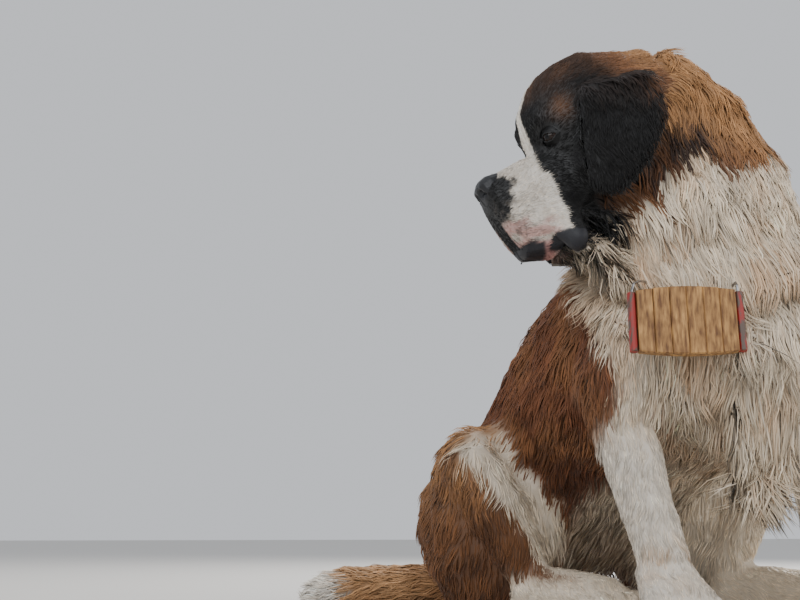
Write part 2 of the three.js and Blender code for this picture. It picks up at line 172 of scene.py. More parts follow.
def normals_of(points, triangles):
    """Each point's outward direction, the sum of its triangles' directions weighted by area."""
    a, b, c = (points[triangles[:, k]] for k in range(3))
    face = np.cross(b - a, c - a)
    total = np.zeros_like(points)
    for k in range(3):
        for axis in range(3):
            total[:, axis] += np.bincount(triangles[:, k], face[:, axis], len(points))
    return unit(total)


def new_object(name, points, triangles, smooth=True):
    """An object at the origin from points and triangles."""
    mesh = bpy.data.meshes.new(name)
    mesh.vertices.add(len(points))
    mesh.vertices.foreach_set("co", np.ascontiguousarray(points, dtype=np.float32).ravel())
    mesh.loops.add(triangles.size)
    mesh.loops.foreach_set("vertex_index", np.ascontiguousarray(triangles, dtype=np.int32).ravel())
    mesh.polygons.add(len(triangles))
    mesh.polygons.foreach_set("loop_start", np.arange(0, triangles.size, 3, dtype=np.int32))
    mesh.update(calc_edges=True)
    mesh.polygons.foreach_set("use_smooth", np.full(len(triangles), smooth))
    made = bpy.data.objects.new(name, mesh)
    bpy.context.scene.collection.objects.link(made)
    return made


def hull_of(points):
    """The convex hull of some points, as points and triangles."""
    work = bmesh.new()
    for p in points:
        work.verts.new(p)
    bmesh.ops.convex_hull(work, input=work.verts)
    loose = [v for v in work.verts if not v.link_faces]
    bmesh.ops.delete(work, geom=loose, context="VERTS")
    work.verts.index_update()
    corners = np.array([v.co[:] for v in work.verts])
    faces = np.array([[v.index for v in f.verts] for f in work.faces if len(f.verts) == 3])
    work.free()
    return corners, faces


flesh_points, flesh_triangles, flesh_label = [], [], []
offset = 0
collar_rim = []
for index, node in enumerate(FLESH):
    points, triangles = welded(*arrays_of(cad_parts[node].data))
    if node in ("neck", "chest"):
        away = dots(points - collar_centre, collar_axis)
        radial = np.linalg.norm((points - collar_centre) - away[:, None] * collar_axis, axis=1)
        collar_rim.append(points[(np.abs(away) < 0.019) & (radial > 0.142)])
    points = points + GROW * normals_of(points, triangles)
    flesh_points.append(points)
    flesh_triangles.append(triangles + offset)
    flesh_label.append(np.full(len(triangles), index))
    offset += len(points)
filler, filler_faces = hull_of(np.concatenate(collar_rim))
flesh_points.append(filler)
flesh_triangles.append(filler_faces + offset)
flesh_label.append(np.full(len(filler_faces), FLESH.index("chest")))
flesh_points = np.concatenate(flesh_points)
flesh_triangles = np.concatenate(flesh_triangles)
flesh_label = np.concatenate(flesh_label)

lump = new_object("lump", flesh_points, flesh_triangles)
remesh = lump.modifiers.new("Remesh", "REMESH")
remesh.mode = "VOXEL"
remesh.voxel_size = VOXEL
lump_mesh = bpy.data.meshes.new_from_object(lump.evaluated_get(bpy.context.evaluated_depsgraph_get()))
bpy.data.objects.remove(lump)


def refined(mesh, reach):
    """The mesh split finer where reach says so, in two rounds, and cut into triangles."""
    work = bmesh.new()
    work.from_mesh(mesh)
    for round_number in range(2):
        work.verts.ensure_lookup_table()
        inside = reach(np.array([v.co[:] for v in work.verts]), round_number)
        work.verts.index_update()
        chosen = [e for e in work.edges if inside[e.verts[0].index] and inside[e.verts[1].index]]
        bmesh.ops.subdivide_edges(work, edges=chosen, cuts=1, use_grid_fill=True)
    bmesh.ops.triangulate(work, faces=work.faces)
    work.to_mesh(mesh)
    work.free()
    return arrays_of(mesh)


def face_reach(p, round_number):
    """The whole front of the head in the first round, and the eyes and lips in the second."""
    h = in_head(p)
    if round_number == 0:
        return (h[:, 0] > 20) & (np.abs(h[:, 1]) < 82) & (h[:, 2] > -190) & (h[:, 2] < 110)
    eye = np.minimum(*[np.linalg.norm(p - c, axis=1) for c in eye_centres.values()])
    lips = (h[:, 0] > 95) & (h[:, 2] < -70) & (np.abs(h[:, 1]) < 80) & (h[:, 2] > -175)
    return (eye < 0.036) | lips


skin_points, skin_triangles = refined(lump_mesh, face_reach)
skin_edges = np.unique(np.sort(np.concatenate([
    skin_triangles[:, [0, 1]],
    skin_triangles[:, [1, 2]],
    skin_triangles[:, [2, 0]],
]), axis=1), axis=0)
valence = np.bincount(skin_edges.ravel(), minlength=len(skin_points)).astype(float)
valence = np.maximum(valence, 1)


def neighbours(values):
    """The mean of each point's neighbours."""
    one, two = skin_edges[:, 0], skin_edges[:, 1]
    total = np.empty_like(values)
    for k in range(values.shape[1]):
        total[:, k] = np.bincount(one, values[two, k], len(values))
        total[:, k] += np.bincount(two, values[one, k], len(values))
    return total / valence[:, None]


def eased(values, rounds, share=0.5):
    """The values moved a share of the way to their neighbours' mean, several times."""
    for _ in range(rounds):
        values = values + share * (neighbours(values) - values)
    return values


# Each skin point is named after the flesh node nearest to it

tree = BVHTree.FromPolygons([Vector(p) for p in flesh_points], flesh_triangles.tolist())
nearest = np.array([tree.find_nearest(Vector(p))[2] for p in skin_points])
label = flesh_label[nearest]


def belongs(which, *names):
    """Where the numbers of flesh nodes are those of these nodes."""
    return np.isin(which, [FLESH.index(n) for n in names])


def share_of(*names):
    """1 at the skin points that belong to these nodes, 0 elsewhere."""
    return belongs(label, *names).astype(float)


is_head = share_of("head", "lower_jaw")
is_ear = share_of("ear_left", "ear_right")
is_neck = share_of("neck")
is_chest = share_of("chest")
is_rump = share_of("rump")
is_foreleg = share_of("foreleg_left", "foreleg_right")
is_forepaw = share_of("forepaw_left", "forepaw_right")
is_thigh = share_of("thigh_left", "thigh_right")
is_shank = share_of("shank_left", "shank_right")
is_hindfoot = share_of("hindfoot_left", "hindfoot_right")
is_tail = share_of("tail_base", "tail_tip")

x, y, z = skin_points.T
h = in_head(skin_points)
back_of_head = ramp(-h[:, 0], -45, 60)
under_cheek = ramp(np.abs(h[:, 1]), 60, 85) * ramp(-h[:, 2], 40, 90)
front_of_chest = ramp(-y, 0.18, 0.27)

# How far the skin lies inside the coat's outline, in metres
depth = (
    is_head * (0.0035 + 0.009 * back_of_head + 0.004 * under_cheek)
    + is_ear * 0.0042
    + is_neck * (0.030 - 0.014 * ramp(z, 0.68, 0.74) + 0.008 * ramp(-z, -0.62, -0.52))
    + is_chest * (0.026 + 0.012 * front_of_chest)
    + is_rump * 0.024
    + is_foreleg * (0.008 + 0.016 * ramp(z, 0.2, 0.4))
    + is_forepaw * 0.006
    + is_thigh * 0.022
    + is_shank * 0.011
    + is_hindfoot * 0.006
    + is_tail * (0.013 + 0.010 * ramp(x, -0.33, -0.05))
)
depth *= 0.35 + 0.65 * ramp(z, 0.0, 0.06)
near_nose = ball(h, [190, 0, -42], [1, 1.1, 1.1], 36)
behind_crown = ball(h, [-78, 0, 70], [1, 1.4, 0.8], 55)
depth *= 1 + 0.15 * behind_crown
depth = eased(depth[:, None], 14)[:, 0]

SHRINK_STEPS = 10
LOWEST_SKIN = 0.0015
for _ in range(SHRINK_STEPS):
    outward = normals_of(skin_points, skin_triangles)
    outward = unit(eased(outward, 2))
    skin_points = skin_points - outward * depth[:, None] / SHRINK_STEPS
    soft = np.clip(depth / 0.02, 0.25, 1)[:, None]
    skin_points = skin_points + 0.5 * soft * (neighbours(skin_points) - skin_points)
skin_points[:, 2] = np.maximum(skin_points[:, 2], LOWEST_SKIN)

# The neck is drawn in under the collar
COLLAR_REACH = 0.048
from_collar = skin_points - collar_centre
along = dots(from_collar, collar_axis)
radial = from_collar - along[:, None] * collar_axis
radius = np.linalg.norm(radial, axis=1)
allowed = COLLAR_RADIUS - 0.004 + 0.09 * ramp(np.abs(along), 0.012, COLLAR_REACH)
in_ruff = (is_neck + is_chest) > 0
pinch = (np.abs(along) < COLLAR_REACH) & (radius > allowed) & (radius < 0.24) & in_ruff
skin_points[pinch] += radial[pinch] * (allowed[pinch] / radius[pinch] - 1)[:, None]

# Lids, brows, lips and furrows of the face
gaze = {
    "left": unit(head_forward * 0.80 + head_left * 0.60 + head_up * 0.02),
    "right": unit(head_forward * 0.80 - head_left * 0.60 + head_up * 0.02),
}


EYE_HALF_WIDTH = 0.0114
UPPER_LID = 0.0042
LOWER_LID = 0.0052
LID_THICKNESS = 0.0017


def opened_eye(p, centre, look):
    """Points near an eye: inside the almond they pass behind the ball, outside it the lids hug the ball."""
    across = unit(np.cross(head_up, look))
    upright = np.cross(look, across)
    d = p - centre
    a, b, c = dots(d, across), dots(d, upright), dots(d, look)
    tilt = b + 0.12 * a
    opening = np.sqrt(np.clip(1.04 - (a / 0.0118) ** 2, 0.05, 1))
    half_height = np.where(tilt > 0, UPPER_LID, LOWER_LID) * opening
    e = np.sqrt((a / EYE_HALF_WIDTH) ** 2 + (tilt / np.maximum(half_height, 0.002)) ** 2)
    out = np.hypot(a, b)
    near = (c > -0.012) & (out < 0.034)
    edge = 0.8 * EYE_BALL
    dome = np.sqrt(np.maximum(EYE_BALL ** 2 - np.minimum(out, edge) ** 2, 1e-8))
    skirt = dome - 1.05 * np.maximum(out - edge, 0) + LID_THICKNESS + 0.0009 * hump(e - 1.3, 0.3)
    raised = np.maximum(c, skirt)
    inner = np.minimum(c, 0.45 * dome)
    target = np.where(e < 1.0, inner, raised)
    return p + look * (near * (target - c))[:, None]


def pushed(p, outward, place, size, amount):
    """Points moved outward by a bell-shaped amount in metres, round a place in the head in millimetres."""
    return p + outward * (amount * bell(in_head(p), place, size))[:, None]


# Brow, lower lid, inner corner of the eye, whisker pad, lip's rear edge and lip's hanging corner:
# place, size and height of each bump on the left side
BUMPS = [
    ((90, 50, 19), (16, 20, 8), 0.0035),
    ((92, 48, -24), (12, 18, 5), 0.0016),
    ((100, 34, -2), (10, 7, 9), -0.0022),
    ((140, 45, -66), (24, 16, 16), 0.0025),
    ((118, 62, -110), (14, 16, 30), 0.003),
    ((122, 60, -146), (15, 16, 13), 0.007),
]
outward = normals_of(skin_points, skin_triangles)
for mirror in (1, -1):
    for place, size, amount in BUMPS:
        skin_points = pushed(skin_points, outward, np.multiply(place, [1, mirror, 1]), size, amount)

# The coat runs level from the crown to the nape, so the hollow between them is filled and eased
h = in_head(skin_points)
notch = bell(h, [-134, 0, 46], [34, 75, 40]) * (is_neck + is_head)
skin_points += (notch * 0.060)[:, None] * (0.85 * head_up - 0.3 * head_forward)
patch = np.clip(1.6 * notch, 0, 1)[:, None]
skin_points += patch * (eased(skin_points, 45) - skin_points)
h = in_head(skin_points)
dip = bell(h, [-127, 0, 46], [19, 70, 36]) * (is_neck + is_head)
skin_points += (dip * 0.019)[:, None] * (0.95 * head_up - 0.2 * head_forward)

# Furrow between the eyes, groove below the nose and folds of the brow
h = in_head(skin_points)
furrow = hump(h[:, 1], 4.0) * ramp(h[:, 0], 60, 95) * ramp(h[:, 2], -40, -5)
philtrum = hump(h[:, 1], 2.2) * ramp(h[:, 0], 165, 185) * ramp(-h[:, 2], 62, 74)
brow_folds = np.sin((np.abs(h[:, 1]) - 10) / 4.6 + h[:, 2] * 0.05)
brow_folds *= ramp(h[:, 0], 70, 92) * ramp(h[:, 2], 15, 30)
brow_folds *= ramp(-np.abs(h[:, 1]), -46, -30) * ramp(-h[:, 2], -70, -50)
skin_points -= outward * (0.0030 * furrow + 0.002 * philtrum + 0.0006 * brow_folds)[:, None]
for side in ("left", "right"):
    eye_centres[side] = eye_centres[side] - 0.0042 * gaze[side] - 0.0012 * head_forward
    skin_points = opened_eye(skin_points, eye_centres[side], gaze[side])

skin = new_object("skin", skin_points, skin_triangles)
skin_normals = normals_of(skin_points, skin_triangles)
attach(skin, "root")
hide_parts(*FLESH)


# Colours of the coat

CREAM = linear(226, 211, 189)
WHITE = linear(240, 233, 222)
TAN = linear(196, 154, 112)
GOLD = linear(182, 135, 90)
BROWN = linear(134, 90, 57)
MAHOGANY = linear(116, 72, 46)
DARK = linear(58, 42, 34)
BLACK = linear(11, 10, 10)
GREY = linear(168, 158, 148)
PINK = linear(196, 142, 136)
LIP = linear(23, 23, 29)


def head_colours(p):
    """The head's markings: white blaze and muzzle, black mask, a brown crown that turns golden, and painted
    shade over the front of the muzzle.
    """
    wander = ripple(p, 0.03, 3)
    a, b, c = (in_head(p) + 1.6 * wander[:, None]).T
    b = np.abs(b)
    colour = plain(BLACK, p)
    streak = ramp(ripple(p, 0.05, 4), -0.6, 0.8)
    colour = blend_to(colour, ramp(c, 38, 78) * (0.45 + 0.4 * streak), DARK * 0.7 + BROWN * 0.3)
    colour = blend_to(colour, ramp(-a, -25, 50) * ramp(c, -60, 40), BROWN)
    colour = blend_to(colour, ramp(-a, 20, 90) * ramp(c, 0, 60), GOLD)
    brow_spot = hump((a - 66) / 16, 1) * hump((b - 64) / 16, 1) * hump((c - 24) / 17, 1)
    colour = blend_to(colour, np.clip(0.9 * brow_spot, 0, 1), DARK * 0.45 + BROWN * 0.55)
    jowl = np.interp(a, [20, 60, 74, 100, 112, 126], [-132, -128, -131, -143, -141, -136])
    colour = blend_to(colour, ramp(jowl - c, -3, 5) * ramp(-a, -124, -116), CREAM)
    low_edge = np.interp(c, [-140, -132, -117, -93, -69, -53, -45], [124, 126, 126, 121, 117, 118, 122])
    high_edge = np.interp(b, [0, 18, 36, 53, 62], [100, 112, 121, 126, 127])
    edge = np.where(c < -45, low_edge, high_edge)
    half = np.interp(c, [-30, -8, 0, 27, 60, 84, 96], [30, 20, 17, 14, 12, 8, 0])
    blaze = ramp(half - b, -1.5, 1.5) * ramp(a, 40, 70) * ramp(c, -60, -40)
    white = np.clip(blaze + ramp(a - edge, -2, 2), 0, 1)
    # Painted shade: the white on the front of the muzzle is darkened and warmed in uneven patches.
    painted_muzzle_shade = ramp(a, 105, 150) * (0.35 + 0.3 * ramp(ripple(p, 0.035, 24), -0.5, 0.7))
    colour = blend_to(colour, white, WHITE)
    colour = blend_to(colour, white * painted_muzzle_shade, WHITE * [0.62, 0.57, 0.52])
    nose_heights = [-84, -74, -62, -48, -38, -30, -20, -6]
    nose_edge = np.interp(c, nose_heights, [196, 186, 174, 170, 160, 170, 180, 188])
    nose_patch = ramp(a - nose_edge + 3 * ripple(p, 0.014, 14), -4, 4) * ramp(c, -92, -78)
    colour = blend_to(colour, nose_patch, BLACK)
    specks = ramp(ripple(p, 0.009, 11), 0.35, 0.7)
    pink = ramp(-c, 78, 90) * ramp(a, 160, 178) + ramp(-c, 100, 110) * ramp(a, 132, 150)
    pink = np.clip(pink, 0, 1) * white * ramp(ripple(p, 0.022, 25), -0.9, 0.2)
    colour = blend_to(colour, 0.7 * pink, PINK)
    speckled = ramp(a, 140, 168) * ramp(-c, 50, 70) * white
    colour = blend_to(colour, 0.55 * speckled * specks, GREY * 0.4)
    front_strip = ramp(17 - b, -3, 3) * ramp(a, 150, 165) * ramp(-c, 45, 60)
    colour = blend_to(colour, front_strip, BLACK)
    lip_spot = hump(np.linalg.norm(np.stack([a - 178, b - 34, c + 96], 1), axis=1), 8)
    colour = blend_to(colour, np.clip(1.3 * lip_spot, 0, 0.85), GREY * 0.35)
    return colour


def skin_of_face(p, colour, jaw):
    """Bare skin on the face: black lips and lid rims and the chin's pink, and a mask of the lips."""
    a, b, c = in_head(p).T
    b = np.abs(b)
    chin = jaw * ramp(a, 147, 153) * ramp(-a, -166, -158) * ramp(-c, 128, 138)
    colour = blend_to(colour, chin * 0.85, PINK)
    lower_lip = jaw * ramp(a, 156, 164)
    mouth_line = (1 - jaw) * ramp(a, 160, 176) * ramp(-c, 118, 124)
    corner = np.interp(a, [100, 111, 131, 147, 155], [-140, -137, -128, -125, -134])
    lobe = ramp(corner - c, -1, 4) * ramp(a, 92, 104) * ramp(-a, -160, -154) * ramp(b, 18, 30)
    lips = np.clip(lower_lip + lobe + mouth_line, 0, 1)
    colour = blend_to(colour, lips, LIP)
    for centre in eye_centres.values():
        rim = ramp(-np.linalg.norm(p - centre, axis=1), -0.0215, -0.0165)
        colour = blend_to(colour, rim, BLACK)
    return colour, lips


def body_colours(p):
    """The body's markings: golden and dark nape, white ruff and chest, mahogany back and flanks."""
    wander = ripple(p, 0.09, 5)[:, None] * [0.008, 0.010, 0.008] + ripple(p, 0.03, 6)[:, None] * 0.003
    x, y, z = (p + wander).T
    tinge = 0.35 * ramp(ripple(p, 0.10, 16), 0.0, 0.9) + 0.3 * ramp(ripple(p, 0.04, 17), 0.2, 0.9)
    colour = blend_to(plain(CREAM, p), tinge, TAN)
    right = ramp(-x, -0.02, 0.04)
    border_right = np.interp(
        z,
        [0.0, 0.28, 0.34, 0.38, 0.44, 0.50, 0.56],
        [-0.14, -0.262, -0.280, -0.235, -0.205, -0.12, -0.06],
    )
    border_left = np.interp(z, [0.0, 0.30, 0.44, 0.56], [-0.02, -0.10, -0.09, -0.03])
    border = right * border_right + (1 - right) * border_left
    flank = ramp(y - border, -0.006, 0.010) * np.where(y > 0.10, 1, ramp(z, 0.10, 0.16))
    saddle = blend_to(plain(MAHOGANY, p), ramp(ripple(p, 0.12, 18), -0.5, 0.8), BROWN)
    colour = blend_to(colour, flank, saddle)
    fold = np.interp(
        z,
        [0.05, 0.139, 0.186, 0.233, 0.271, 0.30],
        [-0.03, -0.055, -0.092, -0.122, -0.138, -0.17],
    )
    pale_fold = ramp(fold - x, -0.004, 0.008) * ramp(-z, -0.29, -0.26) * ramp(y, -0.12, -0.08)
    colour = blend_to(colour, pale_fold, CREAM)
    belly = flank * ramp(-np.abs(x), -0.12, -0.06) * ramp(-z, -0.24, -0.16) * ramp(-y, -0.1, 0.0)
    patchy = ramp(ripple(p, 0.05, 26), -0.6, 0.6)
    colour = blend_to(colour, 0.7 * belly * patchy, BROWN * 0.6 + TAN * 0.12)
    between = flank * ramp(x, -0.05, -0.01) * ramp(-z, -0.36, -0.30) * ramp(-y, -0.16, -0.06)
    colour = blend_to(colour, between, CREAM * 0.9)
    hood = np.interp(
        x,
        [-0.155, -0.12, -0.085, -0.06, -0.03, 0.0, 0.025, 0.065, 0.11, 0.15],
        [0.505, 0.540, 0.560, 0.596, 0.634, 0.628, 0.614, 0.628, 0.650, 0.660],
    )
    a, b, c = in_head(p).T
    top = blend_to(plain(BROWN, p), ramp(c - 0.45 * a, -75, 5), GOLD)
    behind_ear = hump(np.hypot((a + 62) / 78, (c + 88) / 50), 1.0) * ramp(np.abs(b), 30, 60)
    patchy = 0.55 + 0.45 * ramp(ripple(p, 0.05, 15), -0.7, 0.5)
    top = blend_to(top, np.clip(1.5 * behind_ear, 0, 1) * patchy, DARK)
    top = blend_to(top, 0.8 * ramp(a, -10, 30), BROWN * 0.8)
    top = blend_to(top, ramp(a, 48, 74), BLACK)
    colour = blend_to(colour, ramp(z - hood, -0.006, 0.006), top)
    return colour


def leg_colours(p, kind):
    """Haunches golden above and brown below, a white band down each shank and white feet."""
    wander = ripple(p, 0.05, 8)[:, None] * 0.005
    x, y, z = (p + wander).T
    colour = plain(CREAM, p)
    low = blend_to(plain(GOLD * 0.8 + BROWN * 0.2, p), ramp(-z, -0.27, -0.12), BROWN * 0.9)
    haunch = blend_to(low, 0.7 * ramp(ripple(p, 0.09, 22), 0.0, 0.8), BROWN * 0.65)
    axis = np.interp(z, [0.066, 0.152, 0.238], [-0.092, -0.150, -0.200])
    off = np.where(x < 0, axis - x, x + axis - 0.045)
    outer = ramp(off, 0.012, 0.024) * np.where(x < 0, 1, ramp(y, 0.10, 0.17))
    rear = ramp(y, 0.012, 0.04) * ramp(z, 0.05, 0.09) * (x < 0)
    side = np.clip(outer * ramp(z, 0.045, 0.075) + rear, 0, 1)
    if kind == "thigh":
        knee_stripe = ramp(-y, -0.05, -0.02) * (1 - outer)
        inner_left = ramp(0.235 - x, -0.01, 0.01) * (x > 0) * ramp(-y, -0.16, -0.10)
        side = (1 - knee_stripe) * (1 - inner_left)
    return blend_to(colour, side, haunch)


def tail_colours(p):
    """A brown and tan tail that ends in white."""
    x, _, z = (p + ripple(p, 0.05, 9)[:, None] * 0.008).T
    colour = plain(TAN * 0.85 + GOLD * 0.15, p)
    colour = blend_to(colour, 0.8 * ramp(x, -0.2, -0.05), BROWN)
    colour = blend_to(colour, 0.3 * ramp(-z, -0.04, -0.015), BROWN)
    return blend_to(colour, ramp(-x, 0.275, 0.305), WHITE)


def foreleg_colours(p):
    """White forelegs with a faint tan smudge on the wrist and grubby soles."""
    _, y, z = p.T
    colour = plain(WHITE * 0.5 + CREAM * 0.42, p)
    smudge = hump(z - 0.09, 0.03) * ramp(ripple(p, 0.04, 12), -0.1, 0.6) * ramp(-y, 0.26, 0.29)
    colour = blend_to(colour, 0.55 * smudge, TAN)
    grubby = ramp(-z, -0.03, 0.0)
    return blend_to(colour, 0.25 * grubby, TAN)


def markings(p, which):
    """The coat's colour at points of the skin, given the number of each point's flesh node."""
    colour = body_colours(p)
    for names, paint in (
        (("head", "lower_jaw"), head_colours),
        (("foreleg_left", "foreleg_right", "forepaw_left", "forepaw_right"), foreleg_colours),
        (("thigh_left", "thigh_right"), lambda q: leg_colours(q, "thigh")),
        (
            ("shank_left", "shank_right", "hindfoot_left", "hindfoot_right"),
            lambda q: leg_colours(q, "shank"),
        ),
        (("tail_base", "tail_tip"), tail_colours),
    ):
        chosen = belongs(which, *names)
        if chosen.any():
            colour[chosen] = paint(p[chosen])
    face = belongs(which, "head", "lower_jaw")
    if face.any():
        jaw = belongs(which[face], "lower_jaw").astype(float)
        colour[face] = skin_of_face(p[face], colour[face], jaw)[0]
    high_leg = belongs(which, "foreleg_left", "foreleg_right")
    if high_leg.any():
        upper = ramp(p[high_leg][:, 2], 0.22, 0.28)
        own = colour[high_leg]
        colour[high_leg] = own + upper[:, None] * (body_colours(p[high_leg]) - own)
    ear = belongs(which, "ear_left", "ear_right")
    if ear.any():
        q = p[ear]
        tone = plain(BLACK, q)
        tone = blend_to(tone, 0.5 * ramp(q[:, 2], 0.66, 0.73), DARK)
        back_edge = ramp(-in_head(q)[:, 0], 15, 62) * ramp(ripple(q, 0.03, 19), -0.4, 0.8)
        colour[ear] = blend_to(tone, 0.55 * back_edge, BROWN * 0.7)
    return colour


def store_colour(mesh, colour):
    """The colours as the mesh's own attribute."""
    rgba = np.ones((len(colour), 4), dtype=np.float32)
    rgba[:, :3] = np.clip(colour, 0, 1)
    layer = mesh.color_attributes.new("tint", "FLOAT_COLOR", "POINT")
    layer.data.foreach_set("color", rgba.ravel())


skin_colour = markings(skin_points, label)
face = is_head > 0
bare = np.zeros(len(skin_points))
jaw = share_of("lower_jaw")[face]
skin_colour[face], bare[face] = skin_of_face(skin_points[face], skin_colour[face], jaw)
skin_colour = eased(skin_colour, 1)
# Painted shade: where the coat covers it, the skin takes the coat's markings darkened to 0.62 of their
# colour on dark coat and 0.84 on pale coat; bare skin keeps its full colour.
under = 0.62 + 0.22 * ramp(skin_colour.mean(1), 0.15, 0.5)
store_colour(skin.data, skin_colour * (under + (1 - under) * bare)[:, None])


# An unwrap of the skin gives every lock its place on the coat's map

bpy.context.view_layer.objects.active = skin
skin.select_set(True)
bpy.ops.object.mode_set(mode="EDIT")
bpy.ops.mesh.select_all(action="SELECT")
bpy.ops.uv.smart_project(angle_limit=math.radians(66), island_margin=0.002)
bpy.ops.object.mode_set(mode="OBJECT")
loop_uv = np.empty(len(skin.data.loops) * 2, dtype=np.float32)
skin.data.uv_layers.active.data.foreach_get("uv", loop_uv)
corner_uv = loop_uv.reshape(-1, 3, 2)


# The lie of the coat, how long it is and how far it stands off the skin

def lie_of_coat(p, h):
    """The direction in which the hair grows at each skin point, before it is laid along the surface."""
    x, y, z = p.T
    a, b, c = h.T
    side = np.sign(b)
    back = -head_level
    overhang = ramp(-skin_normals[:, 2], -0.05, 0.45)[:, None]
    brow_rise = ramp(a, 60, 100) * ramp(c, -25, 15)
    cheek_fall = ramp(-c, 10, 60) * ramp(-a, -150, -60)
    outward = 0.35 * side * brow_rise + 0.25 * side * ramp(a, 120, 150) * ramp(-c, -10, 40)
    head_way = (
        -head_forward * (1 - 0.5 * brow_rise - 0.4 * cheek_fall)[:, None]
        + head_up * (1.1 * brow_rise - 0.75 * cheek_fall - 0.35 * ramp(-c, 60, 100))[:, None]
        + head_left * outward[:, None]
    )
    head_way = head_way + 1.2 * (ramp(-c, 90, 120) * ramp(-a, -140, -110))[:, None] * overhang * back
    behind_front = (1 - ramp(-y, 0.14, 0.30))[:, None]
    down = np.array([0, 0, -1.0])
    neck_way = down + behind_front * np.array([0.15, 0.45, 0]) + (0.2 + 1.6 * overhang) * back
    leg_back = ramp(y, -0.25, -0.19)[:, None]
    ones = np.ones(len(p))
    ways = [
        (is_head, head_way),
        (is_ear, down + 0.25 * back),
        (is_neck, neck_way),
        (is_chest, down + behind_front * np.array([0, 0.55, 0.1])),
        (is_rump, np.array([0, 0.55, -0.85])),
        (is_foreleg, down + leg_back * np.array([0, 0.55, 0])),
        (is_forepaw, np.array([0, -0.9, -0.45])),
        (is_thigh, np.array([0, 0.55, -0.8])),
        (is_shank, np.array([0, 0.15, -0.95])),
        (is_hindfoot, np.stack([0.25 * np.sign(x), -0.9 * ones, -0.35 * ones], 1)),
        (is_tail, np.stack([-0.9 * ones, 0.75 * ramp(x, -0.22, 0.02), -0.12 * ones], 1)),
    ]
    return sum(share[:, None] * heading for share, heading in ways)


h = in_head(skin_points)
x, y, z = skin_points.T
way = lie_of_coat(skin_points, h)
way = unit(eased(unit(way), 12))

crown = ramp(-h[:, 0], -70, 40)
cheek = ramp(-h[:, 0], -110, -40) * ramp(-h[:, 2], 40, 100)
front = ramp(-y, 0.2, 0.3)
leg_back = ramp(y, -0.25, -0.19)
length = (
    is_head * (0.0062 + 0.014 * crown + 0.014 * cheek)
    + is_head * 0.020 * ramp(-h[:, 2], 95, 125) * ramp(-h[:, 0], -108, -92)
    + share_of("lower_jaw") * 0.022 * ramp(-h[:, 0], -146, -128)
    + is_ear * (0.022 + 0.014 * ramp(h[:, 2], -20, 40))
    + is_neck * (0.048 + 0.024 * ramp(-z, -0.64, -0.54) - 0.010 * ramp(z, 0.68, 0.74))
    + is_chest * (0.055 + 0.03 * front)
    + is_rump * 0.042
    + is_foreleg * (0.018 + 0.030 * leg_back + 0.02 * ramp(z, 0.22, 0.36))
    + is_forepaw * 0.011
    + is_thigh * 0.038
    + is_shank * (0.028 + 0.012 * ramp(z, 0.12, 0.24))
    + is_hindfoot * 0.012
    + is_tail * (0.050 - 0.022 * ramp(-x, 0.29, 0.35))
)
length = eased(length[:, None], 8)[:, 0]
length *= 1 - 0.5 * np.clip(near_nose, 0, 1)
muzzle_front = is_head * ramp(h[:, 0], 100, 140)
lift = 0.26 + 0.24 * ramp(length, 0.012, 0.06) - 0.04 * muzzle_front
lift -= 0.10 * ball(h, [-118, 0, 48], [1, 1.3, 0.9], 45)
throat = ball(h, [80, 0, -160], [1, 1.2, 0.8], 72)
length *= 1 - 0.48 * throat
lift *= 1 - 0.65 * throat
from_collar = skin_points - collar_centre
along = dots(from_collar, collar_axis)
above_collar = hump(along - 0.030, 0.020) * np.clip(is_neck + is_chest, 0, 1)
length *= 1 + 0.40 * above_collar
lift += 0.26 * above_collar
belly_fringe = (is_rump + is_chest) * ramp(-z, -0.17, -0.09) * ramp(-np.abs(x), -0.20, -0.15)
length += 0.048 * belly_fringe
width = 0.0011 + 0.0018 * ramp(length, 0.005, 0.07) - 0.0006 * throat
spacing = 0.0021 + 0.0026 * ramp(length, 0.006, 0.05)

# No lock grows from the soles, the mouth, the eye openings, under the collar or from buried folds
under_collar = (np.abs(along) < 0.016) * (is_neck + is_chest)
eye_gap = np.minimum(*[np.linalg.norm(skin_points - c, axis=1) for c in eye_centres.values()])
off_the_floor = ramp(z, 0.002, 0.006)
growth = (1 - 0.97 * bare) * (1 - under_collar) * ramp(eye_gap, 0.0155, 0.0185) * off_the_floor
growth *= 1 - ramp(near_nose, 0.72, 0.9)
growth *= 1 + 3.0 * above_collar + 1.6 * throat + 1.5 * belly_fringe
near_lobe = ball(np.abs(h), [122, 58, 146], [1, 1, 0.9], 17)
growth *= 1 - 0.95 * near_lobe * share_of("head")
growth *= 1 + 3.0 * share_of("lower_jaw") * ramp(-h[:, 0], -150, -135)


# Locks of hair: closed slim solids with a three-sided section, drawn along a bent and waving path

def lock_shape(rings):
    """Triangles of one lock: rings of three points closed by a cap at the root and a point at the tip."""
    faces = [[0, 1, 2]]
    for ring in range(rings - 1):
        for k in range(3):
            near, far = 3 * ring + k, 3 * ring + (k + 1) % 3
            faces.append([near, near + 3, far])
            faces.append([far, near + 3, far + 3])
    last = 3 * (rings - 1)
    faces += [[last + k, last + 3, last + (k + 1) % 3] for k in range(3)]
    return np.array(faces)


def lock_paths(root, normal, lie, size, lift, phase, rings, style):
    """Points along each lock: it leaves at the lift angle, bends back to the skin and down, and sways."""
    t = np.linspace(0, 1, rings + 1)[None, :, None]
    start = lie * np.cos(lift)[:, None] + normal * np.sin(lift)[:, None]
    weight = np.clip(size / 0.05, 0.0, 1.0)[:, None]
    end = unit(lie + weight * (np.array([0, 0, -1.0]) * style["droop"] - normal * style["hug"]))
    side = unit(np.cross(lie, normal))
    bend = start[:, None] * (t - t * t / 2) + end[:, None] * (t * t / 2)
    path = root[:, None] + size[:, None, None] * bend
    turn = phase[:, None, None] + math.tau * SWAYS * t
    reach = (style["curl"] * size)[:, None, None]
    path = path + side[:, None] * np.sin(turn) * t * reach
    path = path + normal[:, None] * np.cos(turn) * t * (0.4 * reach)
    return path, side


